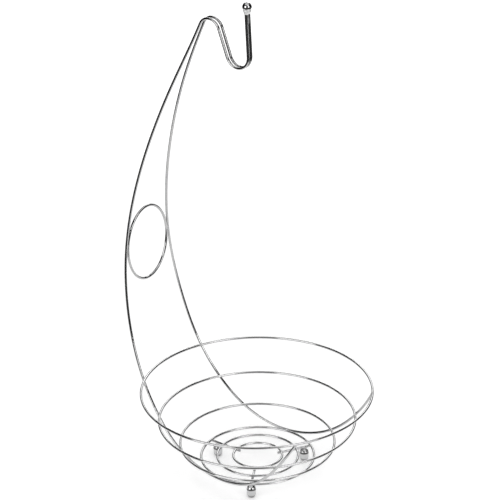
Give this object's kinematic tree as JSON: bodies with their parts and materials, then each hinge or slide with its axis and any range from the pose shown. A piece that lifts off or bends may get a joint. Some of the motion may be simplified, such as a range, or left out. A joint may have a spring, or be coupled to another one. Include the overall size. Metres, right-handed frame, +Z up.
{
  "type": "fruit bowl with banana hanger",
  "caption": "Open fruit bowl of level wire rings on small round-ended feet, with a tall wire hanger that rises behind it to a ball-tipped hook for bananas.",
  "frame": {"origin": "the axis of the bowl, at the height of the table that the three feet stand on", "axes": "+Z up along the axis of the bowl, +Y towards the back, where the hanger rises, +X to the right seen from the front; the part is a mirror image of itself across X = 0"},
  "size_m": [0.26, 0.2834, 0.5534],
  "materials": {
    "chrome_wire": "bright chrome plate on welded round steel wire",
    "chrome_beads": "bright chrome plate on turned steel feet and tip ball"
  },
  "bodies": {
    "root": {"rim_ring": "chrome_wire", "upper_ring": "chrome_wire", "lower_ring": "chrome_wire", "base_outer_ring": "chrome_wire", "base_middle_ring": "chrome_wire", "base_inner_ring": "chrome_wire", "back_foot_bar": "chrome_wire", "left_foot_bar": "chrome_wire", "right_foot_bar": "chrome_wire", "back_foot": "chrome_beads", "left_foot": "chrome_beads", "right_foot": "chrome_beads", "left_hanger_wire": "chrome_wire", "right_hanger_wire": "chrome_wire", "brace_ring": "chrome_wire", "hook_ball": "chrome_beads"}
  },
  "joints": []
}
